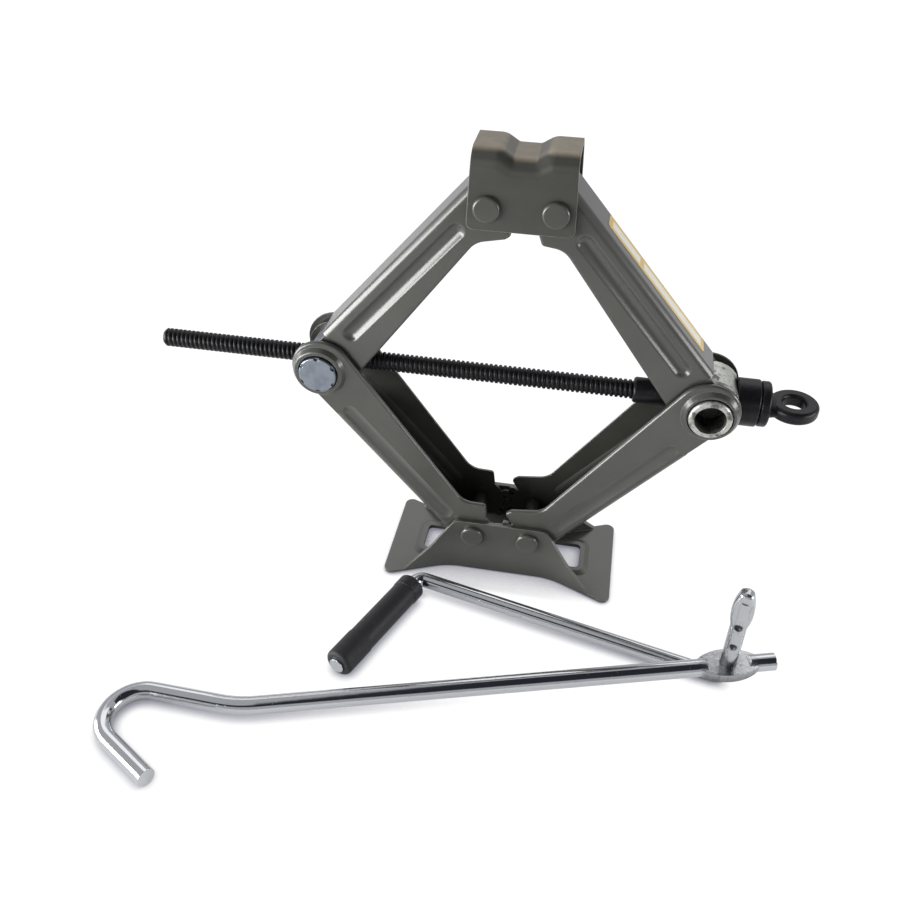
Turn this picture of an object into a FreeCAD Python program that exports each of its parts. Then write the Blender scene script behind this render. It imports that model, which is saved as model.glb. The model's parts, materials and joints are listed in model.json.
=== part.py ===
import FreeCAD, Part
import math
import os
from FreeCAD import Vector

# Scissor jack with its loose crank, in millimetres.
# X runs along the screw to its eye, Y runs to the back and Z is up.
# The origin is the middle of the base's underside.

# Distance within which an edge counts as lying on a plane
TOUCH = 1e-3

# Linkage: four equal arms between two equal pairs of pivots
ARM_LENGTH = 155.0
PIVOT_SPACING = 38.0
REST_ANGLE = 49.0
LOW_ANGLE = 7.5
HIGH_ANGLE = 66.0
BASE_PIVOT_Z = 32.0

# Clearances
RUNNING_FIT = 0.06
FIXED_FIT = 0.02
OPEN_PIVOT_FIT = 0.2
SIDE_GAP = 0.3
NEST_GAP = 1.6

# Arms: pressed channels with an outer web and two cheeks
ARM_SHEET = 2.5
UPPER_ARM_WIDTH = 32.4
WEB_HEIGHT = 15.0
WEB_BEND = 4.5
WEB_START = -4.0
UPPER_WEB_END_GAP = 20.0
LOWER_WEB_END_GAP = 30.0
UPPER_END_RADIUS = 18.2
LOWER_END_RADIUS = 19.6
END_DROP = 2.2
UPPER_WAIST = 10.2
LOWER_WAIST = 10.6
CHEEK_EDGE_ROUND = 1.6

# Round boss at an arm's trunnion end, with a seat for the trunnion's head
UPPER_BOSS_RADIUS = 15.4
LOWER_BOSS_RADIUS = 17.3
LOWER_BOSS_RISE = 3.0
BOSS_ROUND = 1.1
BOSS_LEAN = 0.67
HEAD_SEAT_GAP = 1.0

# Round-bottomed bead pressed along each cheek
BEAD_WIDTH = 9.6
UPPER_BEAD_DEPTH = 2.4
LOWER_BEAD_DEPTH = 1.2
UPPER_BEAD_MIDDLE = 2.2
LOWER_BEAD_MIDDLE = 4.6
BEAD_START = 19.0
BEAD_END_GAP = 29.0
BEAD_LIP_ROUND = 1.8

# Geared ends of the arms
TEETH_IN_CIRCLE = 16
PRESSURE_ANGLE = 20.0
TOOTH_BACKLASH = 0.25
ROOT_DEPTH_IN_MODULES = 1.25
FLANK_POINTS = 6
UPPER_EAR_RADIUS = 21.8
LOWER_EAR_RADIUS = 25.8
EAR_ANGLE = 301.0
EAR_ROOT_ANGLE = 283.0
EAR_SPAN = 12.0
EAR_CORNER = 2.5
UPPER_EAR_REACH = 21.0
LOWER_EAR_REACH = 24.0
NECK_ROUND = 13.0

# Base
BASE_SHEET = 3.0
BASE_LENGTH = 157.0
BASE_END_WIDTH = 84.6
BASE_FLARE_X = 36.0
BASE_FLARE_RADIUS = 45.0
BASE_CORNER = 5.0
BASE_EDGE_ROUND = 2.0
WALL_ABOVE_PIVOT = 10.9
WALL_TOP_X = 31.0
WALL_SHOULDER_X = 46.5
WALL_SHOULDER_Z = 20.5
WALL_SHOULDER_ROUND = 40.0
WALL_FOOT_X = 67.0
WALL_CORNER = 7.0
WINDOW_INNER_X = 34.0
WINDOW_OUTER_X = 55.5
WINDOW_WIDTH = 24.0
WINDOW_PAD = 6.5
WINDOW_PAD_RISE = 1.5

# Saddle
SADDLE_SHEET = 3.0
SADDLE_BELOW_PIVOT = 12.8
SADDLE_ABOVE_PIVOT = 32.0
SADDLE_FOOT_WIDTH = 60.6
SADDLE_TOP_WIDTH = 57.2
SADDLE_CORNER = 4.0
SADDLE_BEND = 9.5
GROOVE_TOP = 26.6
GROOVE_BOTTOM = 12.0
GROOVE_DEPTH = 4.6
GROOVE_FOOT_ROUND = 3.0

# Rivets
RIVET_RADIUS = 5.0
RIVET_HEAD_RADIUS = 7.6
RIVET_HEAD = 3.1
RIVET_HEAD_ROUND = 1.5

# Trunnions
NUT_BARREL_RADIUS = 12.4
BLOCK_BARREL_RADIUS = 18.4
NUT_JOURNAL_RADIUS = 10.0
NUT_HEAD_RADIUS = 12.0
NUT_NOTCHES = 6
NUT_NOTCH_RADIUS = 1.7
NUT_NOTCH_DEPTH = 1.6
BLOCK_JOURNAL_RADIUS = 11.3
BLOCK_HEAD_RADIUS = 12.9
BLOCK_BORE_RADIUS = 9.4
BLOCK_BORE_DEPTH = 17.0
TRUNNION_HEAD = 4.8
NUT_HEAD_ROUND = 0.7
BLOCK_HEAD_ROUND = 1.6
BEARING_FLAT = 15.0

# Screw, its sleeve, thrust bearing and eye, measured from the right trunnion
SCREW_RADIUS = 6.0
SCREW_TAIL = 352.5
NUT_FIT = 0.15
SCREW_TIP_CHAMFER = 1.5
SCREW_INSET = 1.0
SLEEVE_RADIUS = 8.0
SLEEVE_LENGTH = 27.6
SLEEVE_ROUND = 1.8
CUP_RADIUS = 14.6
CUP_WALL = 2.2
CUP_LENGTH = 13.8
CUP_ROUND = 1.0
RACE_THICKNESS = 2.2
BALL_RADIUS = 2.2
BALL_COUNT = 10
FLANGE_RADIUS = 14.0
FLANGE_THICKNESS = 6.0
FLANGE_ROUND = 1.6
EYE_CENTRE = 50.0
EYE_RADIUS = 14.9
EYE_ROUND = 2.8
EYE_HOLE_RADIUS = 6.9
EYE_HOLE_ROUND = 2.0
EYE_THICKNESS = 8.4
EYE_NECK_WIDTH = 24.0
EYE_NECK_HEIGHT = 12.5
EYE_NECK_TUCK = 1.0

# Crank on the floor in front of the jack
POST_X = 152.0
POST_Y = -93.0
POST_TOP = 80.7
CRANK_ROD_RADIUS = 5.0
CRANK_ARM = 207.5
CRANK_ARM_HEADING = 167.8
CRANK_BEND = 6.5
POST_BEND = 7.5
TAIL_LENGTH = 92.0
TAIL_HEADING = 248.0
POST_HEAD_HEIGHT = 26.5
POST_HEAD_WIDTH = 12.8
POST_HEAD_TOP = 7.6
POST_HEAD_CROWN = 1.6
POST_HEAD_SHOULDER = 13.5
POST_HEAD_THICKNESS = 8.4
POST_HEAD_ROUND = 2.6
POST_CORE_GAP = 7.0
CRIMP_DROPS = (-0.4, 16.2)
CRIMP_RADIUS = 2.6
CRIMP_DEPTH = 1.4
GRIP_RADIUS = 9.3
GRIP_WAIST_RADIUS = 8.9
GRIP_FAR_COLLAR = 9.0
GRIP_NEAR_COLLAR = 23.0
GRIP_FAR_ROUND = 1.2
GRIP_NEAR_ROUND = 2.8
GRIP_START = 0.6
GRIP_END_GAP = 1.4

# Hook rod on the crank's post
HOOK_ROD_RADIUS = 5.5
HOOK_ROD_HEADING = 195.9
HOOK_ROD_STUB = 29.5
HOOK_ROD_STRAIGHT = 298.0
KNEE_TURN = 18.5
KNEE_RADIUS = 70.0
HOOK_LEAD = 54.0
HOOK_RADIUS = 20.0
HOOK_TURN = 151.0
HOOK_TIP = 38.0
ROD_EYE_RADIUS = 10.5
ROD_EYE_THICKNESS = 6.0
ROD_EYE_REACH = 18.0
ROD_EYE_FIT = 0.09
ROD_EYE_LIFT = 1.0

PIVOT_X = PIVOT_SPACING / 2
TRUNNION_X = PIVOT_X + ARM_LENGTH * math.cos(math.radians(REST_ANGLE))
TRUNNION_Z = BASE_PIVOT_Z + ARM_LENGTH * math.sin(math.radians(REST_ANGLE))
SADDLE_PIVOT_Z = 2 * TRUNNION_Z - BASE_PIVOT_Z

# Journal and head radius of the left (-1) and the right (1) trunnion
TRUNNION_RADII = {-1: (NUT_JOURNAL_RADIUS, NUT_HEAD_RADIUS),
                  1: (BLOCK_JOURNAL_RADIUS, BLOCK_HEAD_RADIUS)}

# Half widths, from the inside of the upper arms to the outside of the base
UPPER_OUT = UPPER_ARM_WIDTH / 2
UPPER_IN = UPPER_OUT - ARM_SHEET
LOWER_IN = UPPER_OUT + NEST_GAP
LOWER_OUT = LOWER_IN + ARM_SHEET
SADDLE_IN = UPPER_OUT + SIDE_GAP
SADDLE_OUT = SADDLE_IN + SADDLE_SHEET
BASE_IN = LOWER_OUT + SIDE_GAP
BASE_OUT = BASE_IN + BASE_SHEET

X_AXIS = Vector(1, 0, 0)
Y_AXIS = Vector(0, 1, 0)
Z_AXIS = Vector(0, 0, 1)


def heading(degrees):
    """Level direction at this angle from X towards Y."""
    angle = math.radians(degrees)
    return Vector(math.cos(angle), math.sin(angle), 0)


def on_side(radius, degrees):
    """Point of the XZ plane at this radius and angle from the origin."""
    angle = math.radians(degrees)
    return Vector(radius * math.cos(angle), 0, radius * math.sin(angle))


def line(start, end):
    """One straight edge, or none where both ends are the same point."""
    if start.distanceToPoint(end) < 1e-6:
        return []
    return [Part.LineSegment(start, end).toShape()]


def arc(start, middle, end):
    return [Part.Arc(start, middle, end).toShape()]


def bent_edges(corners, closed=True):
    """Edges through (point, radius) corners, each corner rounded by its radius."""
    count = len(corners)
    spans = []
    for index, (point, radius) in enumerate(corners):
        at_end = not closed and index in (0, count - 1)
        if at_end or radius == 0:
            spans.append((point, None, point))
            continue
        before = (corners[index - 1][0] - point).normalize()
        after = (corners[(index + 1) % count][0] - point).normalize()
        half = before.getAngle(after) / 2
        inward = (before + after).normalize()
        reach = radius / math.tan(half)
        middle = point + inward * (radius / math.sin(half) - radius)
        spans.append((point + before * reach, middle, point + after * reach))
    edges = []
    for index, (enter, middle, leave) in enumerate(spans):
        if index > 0:
            edges += line(spans[index - 1][2], enter)
        if middle is not None:
            edges += arc(enter, middle, leave)
    if closed:
        edges += line(spans[-1][2], spans[0][0])
    return edges


def bent_face(corners):
    return Part.Face(Part.Wire(bent_edges(corners)))


def bar(radius, start, end):
    """Round bar between two points."""
    span = end - start
    return Part.makeCylinder(radius, span.Length, start, span)


def fused(shapes):
    return shapes[0].multiFuse(shapes[1:]).removeSplitter()


def both_sides(shape):
    """The shape and its mirror image across the middle plane."""
    return [shape, shape.mirror(Vector(0, 0, 0), Y_AXIS)]


def placed(shape, origin, along, up):
    """The shape with its X and Z axes turned to the two directions."""
    side = up.cross(along)
    matrix = FreeCAD.Matrix(
        along.x, side.x, up.x, origin.x,
        along.y, side.y, up.y, origin.y,
        along.z, side.z, up.z, origin.z,
        0, 0, 0, 1)
    moved = shape.copy()
    moved.Placement = FreeCAD.Placement(matrix)
    return moved


def round_ended(radius, start, end):
    """Round bar between two points with a ball on each end."""
    balls = [Part.makeSphere(radius, point) for point in (start, end)]
    return fused([bar(radius, start, end)] + balls)


# Involute teeth: the two arms of a pair roll on each other at half the spacing
PITCH_RADIUS = PIVOT_SPACING / 2
MODULE = PIVOT_SPACING / TEETH_IN_CIRCLE
TIP_RADIUS = PITCH_RADIUS + MODULE
ROOT_RADIUS = PITCH_RADIUS - ROOT_DEPTH_IN_MODULES * MODULE
FLANK_RADIUS = PITCH_RADIUS * math.cos(math.radians(PRESSURE_ANGLE))
TOOTH_PITCH = 360.0 / TEETH_IN_CIRCLE


def unroll(angle):
    return math.tan(angle) - angle


def half_tooth(radius):
    """Degrees from a tooth's middle to its flank at this radius."""
    at_pitch = math.pi / (2 * TEETH_IN_CIRCLE) - TOOTH_BACKLASH / (2 * PITCH_RADIUS)
    rolled = unroll(math.acos(FLANK_RADIUS / max(radius, FLANK_RADIUS)))
    return math.degrees(at_pitch + unroll(math.radians(PRESSURE_ANGLE)) - rolled)


def tooth_edges(middle):
    """Edges of one tooth, from root to root, with its middle at this angle."""
    depth = TIP_RADIUS - FLANK_RADIUS
    radii = [FLANK_RADIUS + depth * step / (FLANK_POINTS - 1) for step in range(FLANK_POINTS)]
    rising = [on_side(radius, middle - half_tooth(radius)) for radius in radii]
    falling = [on_side(radius, middle + half_tooth(radius)) for radius in reversed(radii)]
    edges = line(on_side(ROOT_RADIUS, middle - half_tooth(ROOT_RADIUS)), rising[0])
    for points in (rising, falling):
        flank = Part.BSplineCurve()
        flank.interpolate(points)
        if points is falling:
            edges += arc(rising[-1], on_side(TIP_RADIUS, middle), falling[0])
        edges.append(flank.toShape())
    edges += line(falling[-1], on_side(ROOT_RADIUS, middle + half_tooth(ROOT_RADIUS)))
    return edges


def root_arc(start, end):
    return arc(on_side(ROOT_RADIUS, start), on_side(ROOT_RADIUS, (start + end) / 2),
               on_side(ROOT_RADIUS, end))


def arm_outline(half_pitch, end_radius, neck, ear_radius):
    """Side view of an arm: pivot at the origin, trunnion on X, web towards Z."""
    shift = half_pitch * TOOTH_PITCH / 2
    edge_z = WEB_HEIGHT - WEB_BEND / 2
    end = Vector(ARM_LENGTH, 0, -END_DROP)
    shoulder = Vector(end.x - math.sqrt(end_radius**2 - (edge_z - end.z)**2), 0, edge_z)
    angle = 180 - math.degrees(math.asin(edge_z / ROOT_RADIUS))
    edges = line(shoulder, on_side(ROOT_RADIUS, angle))

    # Teeth that meet the other arm's anywhere between the low and the high angle
    tooth_middle = 180 + REST_ANGLE + shift
    first = 180 + LOW_ANGLE - TOOTH_PITCH
    while tooth_middle - TOOTH_PITCH > first:
        tooth_middle -= TOOTH_PITCH
    while tooth_middle < 180 + HIGH_ANGLE + TOOTH_PITCH:
        edges += root_arc(angle, tooth_middle - half_tooth(ROOT_RADIUS))
        edges += tooth_edges(tooth_middle)
        angle = tooth_middle + half_tooth(ROOT_RADIUS)
        tooth_middle += TOOTH_PITCH
    root_angle = EAR_ROOT_ANGLE - shift
    edges += root_arc(angle, root_angle)

    # Ear beside the teeth, then the inner edge, tangent to the round end
    span = end - neck
    slope = math.atan2(span.z, span.x) - math.asin(end_radius / span.Length)
    reach = math.sqrt(span.Length**2 - end_radius**2)
    touch = neck + Vector(math.cos(slope), 0, math.sin(slope)) * reach
    ear = [(on_side(ear_radius, EAR_ANGLE - shift), EAR_CORNER)]
    if half_pitch:
        ear.insert(0, (on_side(ear_radius, EAR_ANGLE - shift - EAR_SPAN), EAR_CORNER))
    edges += bent_edges([(on_side(ROOT_RADIUS, root_angle), 0)] + ear
                        + [(neck, NECK_ROUND), (touch, 0)], closed=False)
    edges += arc(touch, end + X_AXIS * end_radius, shoulder)
    return Part.Face(Part.Wire(edges))


def web(width_out, end_gap):
    """Web of the channel with its two bends, and the room it takes in the cheeks."""
    low = WEB_HEIGHT - WEB_BEND - ARM_SHEET
    inner = width_out - ARM_SHEET
    start = Vector(WEB_START, 0, 0)
    outline = [(width_out, low, 0), (width_out, WEB_HEIGHT, WEB_BEND),
               (-width_out, WEB_HEIGHT, WEB_BEND), (-width_out, low, 0),
               (-inner, low, 0), (-inner, WEB_HEIGHT - ARM_SHEET, WEB_BEND - ARM_SHEET),
               (inner, WEB_HEIGHT - ARM_SHEET, WEB_BEND - ARM_SHEET), (inner, low, 0)]
    section = bent_face([(start + Vector(0, y, z), radius) for y, z, radius in outline])
    length = ARM_LENGTH - end_gap - WEB_START
    room = Part.makeBox(length, 2 * width_out, WEB_HEIGHT, Vector(WEB_START, -width_out, low))
    return section.extrude(X_AXIS * length), room


def bead(width_out, middle_z, depth):
    """Round-bottomed groove in a cheek, and the ridge it raises inside."""
    radius = ((BEAD_WIDTH / 2)**2 + depth**2) / (2 * depth)
    axis_y = depth - radius - width_out
    first = Vector(BEAD_START + BEAD_WIDTH / 2, axis_y, middle_z)
    last = Vector(ARM_LENGTH - BEAD_END_GAP - BEAD_WIDTH / 2, axis_y, middle_z)
    inside = Part.makeBox(ARM_LENGTH, radius, 4 * radius,
                          Vector(0, ARM_SHEET / 2 - width_out, middle_z - 2 * radius))
    groove = round_ended(radius, first, last)
    return groove, round_ended(radius + ARM_SHEET, first, last).common(inside)


def boss(width_out, radius, rise, seat_radius):
    """Ring drawn outwards round the trunnion's hole."""
    middle = Vector(ARM_LENGTH, -width_out, 0)
    cone = Part.makeCone(radius, radius - rise * BOSS_LEAN, rise, middle, -Y_AXIS)
    rim = [edge for edge in cone.Edges if edge.BoundBox.YMax < TOUCH - width_out - rise]
    cone = cone.makeFillet(min(BOSS_ROUND, rise / 3), rim)
    return cone.cut(bar(seat_radius, middle, middle - Y_AXIS * 2 * rise))


def arm(width_out, outline, channel, room, groove, ridge, ring_boss, holes):
    """One arm in its own frame: two beaded cheeks joined by the web."""
    cheek = outline.extrude(Y_AXIS * ARM_SHEET)
    cheek.translate(Y_AXIS * -width_out)
    inner_edge = [edge for edge in cheek.Edges
                  if edge.BoundBox.YMax < TOUCH - width_out and edge.BoundBox.XMax > ARM_LENGTH
                  and edge.BoundBox.ZMin < 0]
    cheek = cheek.makeFillet(CHEEK_EDGE_ROUND, inner_edge).cut(room)
    solid = fused(both_sides(cheek) + both_sides(ridge) + both_sides(ring_boss) + [channel])
    solid = solid.cut(both_sides(groove)).removeSplitter()
    lips = [edge for edge in solid.Edges
            if abs(edge.BoundBox.YMax) > width_out - TOUCH and edge.BoundBox.YLength < TOUCH
            and edge.BoundBox.XMin > BEAD_START - SIDE_GAP
            and edge.BoundBox.XMax < ARM_LENGTH - BEAD_END_GAP + SIDE_GAP
            and edge.BoundBox.ZMax < WEB_HEIGHT - WEB_BEND and edge.BoundBox.ZMin > -BEAD_WIDTH / 2]
    return solid.makeFillet(BEAD_LIP_ROUND, lips).cut(holes)


def arm_holes(width_out, pivot_fit, journal_radius):
    reach = Y_AXIS * (2 * width_out)
    trunnion = Vector(ARM_LENGTH, 0, 0)
    return [bar(RIVET_RADIUS + pivot_fit, -reach, reach),
            bar(journal_radius + RUNNING_FIT, trunnion - reach, trunnion + reach)]


def lower_arm(side):
    """Lower arm on the left (-1) or the right (1)."""
    journal, head = TRUNNION_RADII[side]
    neck = Vector(LOWER_EAR_REACH, 0, -LOWER_WAIST)
    outline = arm_outline(side > 0, LOWER_END_RADIUS, neck, LOWER_EAR_RADIUS)
    channel, room = web(LOWER_OUT, LOWER_WEB_END_GAP)
    groove, ridge = bead(LOWER_OUT, LOWER_BEAD_MIDDLE, LOWER_BEAD_DEPTH)
    ring_boss = boss(LOWER_OUT, LOWER_BOSS_RADIUS, LOWER_BOSS_RISE, head + HEAD_SEAT_GAP)
    shape = arm(LOWER_OUT, outline, channel, room, groove, ridge, ring_boss,
                arm_holes(LOWER_OUT, RUNNING_FIT, journal))
    along = on_side(1, REST_ANGLE)
    return placed(shape, Vector(side * PIVOT_X, 0, BASE_PIVOT_Z),
                  Vector(side * along.x, 0, along.z), Vector(side * along.z, 0, -along.x))


def upper_arm(side):
    """Upper arm on the left (-1) or the right (1)."""
    journal = TRUNNION_RADII[side][0]
    fit = OPEN_PIVOT_FIT if side > 0 else RUNNING_FIT
    neck = Vector(UPPER_EAR_REACH, 0, -UPPER_WAIST)
    outline = arm_outline(side < 0, UPPER_END_RADIUS, neck, UPPER_EAR_RADIUS)
    channel, room = web(UPPER_OUT, UPPER_WEB_END_GAP)
    groove, ridge = bead(UPPER_OUT, UPPER_BEAD_MIDDLE, UPPER_BEAD_DEPTH)
    ring_boss = boss(UPPER_OUT, UPPER_BOSS_RADIUS, NEST_GAP - SIDE_GAP, journal)
    shape = arm(UPPER_OUT, outline, channel, room, groove, ridge, ring_boss,
                arm_holes(UPPER_OUT, fit, journal))
    along = on_side(1, REST_ANGLE)
    return placed(shape, Vector(side * PIVOT_X, 0, SADDLE_PIVOT_Z),
                  Vector(side * along.x, 0, -along.z), Vector(side * along.z, 0, along.x))


def rivet(x, z, half_grip):
    """Pivot rivet through both walls, headed outside each."""
    shank = bar(RIVET_RADIUS, Vector(x, -half_grip, z), Vector(x, half_grip, z))
    head = bar(RIVET_HEAD_RADIUS, Vector(x, -half_grip, z), Vector(x, -half_grip - RIVET_HEAD, z))
    rim = [edge for edge in head.Edges if edge.BoundBox.YMax < -half_grip - RIVET_HEAD + TOUCH]
    head = head.makeFillet(RIVET_HEAD_ROUND, rim)
    return fused([shank] + both_sides(head))


def pivot_holes(z, width_out):
    reach = Y_AXIS * (2 * width_out)
    middles = [Vector(-PIVOT_X, 0, z), Vector(PIVOT_X, 0, z)]
    return [bar(RIVET_RADIUS + FIXED_FIT, middle - reach, middle + reach) for middle in middles]


def rectangle(x0, x1, half_y, z, corner):
    return Part.Wire(bent_edges([
        (Vector(x0, -half_y, z), corner), (Vector(x1, -half_y, z), corner),
        (Vector(x1, half_y, z), corner), (Vector(x0, half_y, z), corner)]))


def base_plate():
    """Bow-tie plate with two walls that follow its edge, and two windows."""
    end_x = BASE_LENGTH / 2
    end_y = BASE_END_WIDTH / 2
    half = [(-end_x, -end_y, BASE_CORNER), (-BASE_FLARE_X, -BASE_OUT, BASE_FLARE_RADIUS),
            (BASE_FLARE_X, -BASE_OUT, BASE_FLARE_RADIUS), (end_x, -end_y, BASE_CORNER)]
    outline = half + [(-x, -y, radius) for x, y, radius in half]
    plan = bent_face([(Vector(x, y, 0), radius) for x, y, radius in outline])
    plate = plan.extrude(Z_AXIS * BASE_SHEET)

    top = BASE_PIVOT_Z + WALL_ABOVE_PIVOT
    rim = plan.cut(plan.makeOffset2D(-BASE_SHEET)).extrude(Z_AXIS * top)
    rise = [(WALL_FOOT_X, 0, 0), (WALL_SHOULDER_X, WALL_SHOULDER_Z, WALL_SHOULDER_ROUND),
            (WALL_TOP_X, top, WALL_CORNER)]
    view = rise + [(-x, z, radius) for x, z, radius in reversed(rise)]
    front = bent_face([(Vector(x, -end_y, z), radius) for x, z, radius in view])
    walls = rim.common(front.extrude(Y_AXIS * (2 * end_y)))
    solid = fused([plate, walls])
    foot = [edge for edge in solid.Edges
            if edge.BoundBox.ZMax < TOUCH and edge.BoundBox.ZMin > -TOUCH]
    solid = solid.makeFillet(BASE_EDGE_ROUND, foot)

    pads = []
    hollows = []
    half_y = WINDOW_WIDTH / 2
    grow = WINDOW_PAD
    for side in (-1, 1):
        inner, outer = sorted((side * WINDOW_INNER_X, side * WINDOW_OUTER_X))
        for z, shapes in ((BASE_SHEET, pads), (0, hollows)):
            wide = rectangle(inner - grow, outer + grow, half_y + grow, z, grow)
            tight = rectangle(inner - grow / 2, outer + grow / 2, half_y + grow / 2,
                              z + WINDOW_PAD_RISE, grow)
            shapes.append(Part.makeLoft([wide, tight], True))
        window = Part.Face(rectangle(inner, outer, half_y, -BASE_SHEET, grow / 2))
        hollows.append(window.extrude(Z_AXIS * (4 * BASE_SHEET)))
    solid = solid.fuse(pads).cut(hollows)
    return solid.cut(pivot_holes(BASE_PIVOT_Z, BASE_OUT)).removeSplitter()


def saddle_block(half_y, top_z, foot_z, foot_x, top_x, corner, bend):
    """Block with the groove across its top and its long top edges rounded."""
    groove_z = top_z - GROOVE_DEPTH
    crest = bend + SIDE_GAP
    rounded = GROOVE_FOOT_ROUND
    outline = [(-foot_x, foot_z, corner), (-top_x, top_z, 0),
               (-GROOVE_TOP / 2, top_z, crest), (-GROOVE_BOTTOM / 2, groove_z, rounded),
               (GROOVE_BOTTOM / 2, groove_z, rounded), (GROOVE_TOP / 2, top_z, crest),
               (top_x, top_z, 0), (foot_x, foot_z, corner)]
    face = bent_face([(Vector(x, -half_y, z), radius) for x, z, radius in outline])
    block = face.extrude(Y_AXIS * (2 * half_y))
    long_edges = [edge for edge in block.Edges
                  if edge.BoundBox.YLength < TOUCH and edge.BoundBox.ZMin > groove_z - TOUCH]
    return block.makeFillet(bend, long_edges)


def saddle():
    top = SADDLE_PIVOT_Z + SADDLE_ABOVE_PIVOT
    foot = SADDLE_PIVOT_Z - SADDLE_BELOW_PIVOT
    shell = saddle_block(SADDLE_OUT, top, foot, SADDLE_FOOT_WIDTH / 2, SADDLE_TOP_WIDTH / 2,
                         SADDLE_CORNER, SADDLE_BEND)
    inside = saddle_block(SADDLE_IN, top - SADDLE_SHEET, foot - SADDLE_SHEET, SADDLE_FOOT_WIDTH,
                          SADDLE_FOOT_WIDTH, 0, SADDLE_BEND - SADDLE_SHEET)
    return shell.cut([inside] + pivot_holes(SADDLE_PIVOT_Z, SADDLE_OUT)).removeSplitter()


def trunnion(barrel_radius, journal_radius, head_radius, head_round):
    """Barrel between the arms, journals through them and a head on each end."""
    under_head = LOWER_OUT + SIDE_GAP
    end = under_head + TRUNNION_HEAD
    head = bar(head_radius, Y_AXIS * -under_head, Y_AXIS * -end)
    rim = [edge for edge in head.Edges if edge.BoundBox.YMax < TOUCH - end]
    head = head.makeFillet(head_round, rim)
    barrel_end = Y_AXIS * (UPPER_IN - SIDE_GAP)
    return fused([bar(barrel_radius, -barrel_end, barrel_end),
                  bar(journal_radius, Y_AXIS * -under_head, Y_AXIS * under_head)]
                 + both_sides(head)), end


def trunnion_nut():
    """Left trunnion: solid, staked heads, with the screw's bore across it."""
    solid, end = trunnion(NUT_BARREL_RADIUS, NUT_JOURNAL_RADIUS, NUT_HEAD_RADIUS, NUT_HEAD_ROUND)
    reach = X_AXIS * (2 * NUT_BARREL_RADIUS)
    cuts = [bar(SCREW_RADIUS + NUT_FIT, -reach, reach)]
    for index in range(NUT_NOTCHES):
        spot = on_side(NUT_HEAD_RADIUS, 360 / NUT_NOTCHES * (index + 0.5)) - Y_AXIS * end
        notch = bar(NUT_NOTCH_RADIUS, spot, spot + Y_AXIS * NUT_NOTCH_DEPTH)
        cuts += both_sides(notch)
    solid = solid.cut(cuts)
    solid.translate(Vector(-TRUNNION_X, 0, TRUNNION_Z))
    return solid


def trunnion_block():
    """Right trunnion: hollow ends, the screw's bore and a flat for the bearing."""
    solid, end = trunnion(BLOCK_BARREL_RADIUS, BLOCK_JOURNAL_RADIUS, BLOCK_HEAD_RADIUS,
                          BLOCK_HEAD_ROUND)
    reach = 2 * BLOCK_BARREL_RADIUS
    hollow = bar(BLOCK_BORE_RADIUS, Y_AXIS * -end, Y_AXIS * (BLOCK_BORE_DEPTH - end))
    bore = bar(SCREW_RADIUS + RUNNING_FIT, X_AXIS * -reach, X_AXIS * reach)
    wide = UPPER_IN - SIDE_GAP
    flat = Part.makeBox(reach, 2 * wide, 2 * reach, Vector(BEARING_FLAT, -wide, -reach))
    solid = solid.cut(both_sides(hollow) + [bore, flat])
    solid.translate(Vector(TRUNNION_X, 0, TRUNNION_Z))
    return solid


def at_screw(x):
    """Point on the screw's axis at this distance beyond the right trunnion."""
    return Vector(TRUNNION_X + x, 0, TRUNNION_Z)


def ring(start, end, outer, inner):
    """Plain ring on the screw's axis."""
    return bar(outer, at_screw(start), at_screw(end)).cut(
        bar(inner, at_screw(start - 1), at_screw(end + 1)))


# Thrust bearing, stacked outwards from the right trunnion's flat
SCREW_HOLE = SCREW_RADIUS + FIXED_FIT
CUP_INSIDE = CUP_RADIUS - CUP_WALL
FIXED_RACE_X = BEARING_FLAT + CUP_WALL
BALLS_X = FIXED_RACE_X + RACE_THICKNESS + RUNNING_FIT
TURNING_RACE_X = BALLS_X + 2 * BALL_RADIUS + RUNNING_FIT
SPIGOT_X = TURNING_RACE_X + RACE_THICKNESS
FLANGE_X = BEARING_FLAT + CUP_LENGTH + SIDE_GAP
FLANGE_END_X = FLANGE_X + FLANGE_THICKNESS
SCREW_END_X = FLANGE_END_X - SCREW_INSET


def lead_screw():
    """Screw without its thread, from its free tip into the eye's flange."""
    solid = bar(SCREW_RADIUS, at_screw(-SCREW_TAIL), at_screw(SCREW_END_X))
    tip = [edge for edge in solid.Edges if edge.BoundBox.XMax < TRUNNION_X - SCREW_TAIL + TOUCH]
    return solid.makeChamfer(SCREW_TIP_CHAMFER, tip)


def spacer_sleeve():
    """Sleeve between the thread and the trunnion, rounded at its free end."""
    end = -BLOCK_BARREL_RADIUS - SIDE_GAP
    start = end - SLEEVE_LENGTH
    body = bar(SLEEVE_RADIUS, at_screw(start), at_screw(end))
    rim = [edge for edge in body.Edges if edge.BoundBox.XMax < at_screw(start).x + TOUCH]
    body = body.makeFillet(SLEEVE_ROUND, rim)
    return body.cut(bar(SCREW_HOLE, at_screw(start - 1), at_screw(end + 1)))


def bearing_cup():
    """Cup on the trunnion's flat round the bearing, narrowed between the arms' cheeks."""
    end = BEARING_FLAT + CUP_LENGTH
    outside = bar(CUP_RADIUS, at_screw(BEARING_FLAT), at_screw(end))
    rims = [edge for edge in outside.Edges if edge.BoundBox.XLength < TOUCH]
    outside = outside.makeFillet(CUP_ROUND, rims)
    inside = bar(CUP_INSIDE, at_screw(FIXED_RACE_X), at_screw(end + 1))
    hole = bar(SCREW_RADIUS + SIDE_GAP, at_screw(0), at_screw(end))
    corner = at_screw(0) + Vector(0, UPPER_IN - SIDE_GAP, -CUP_RADIUS)
    cheek = Part.makeBox(UPPER_END_RADIUS + SIDE_GAP, CUP_RADIUS, 2 * CUP_RADIUS, corner)
    return outside.cut([inside, hole] + both_sides(cheek))


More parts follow.
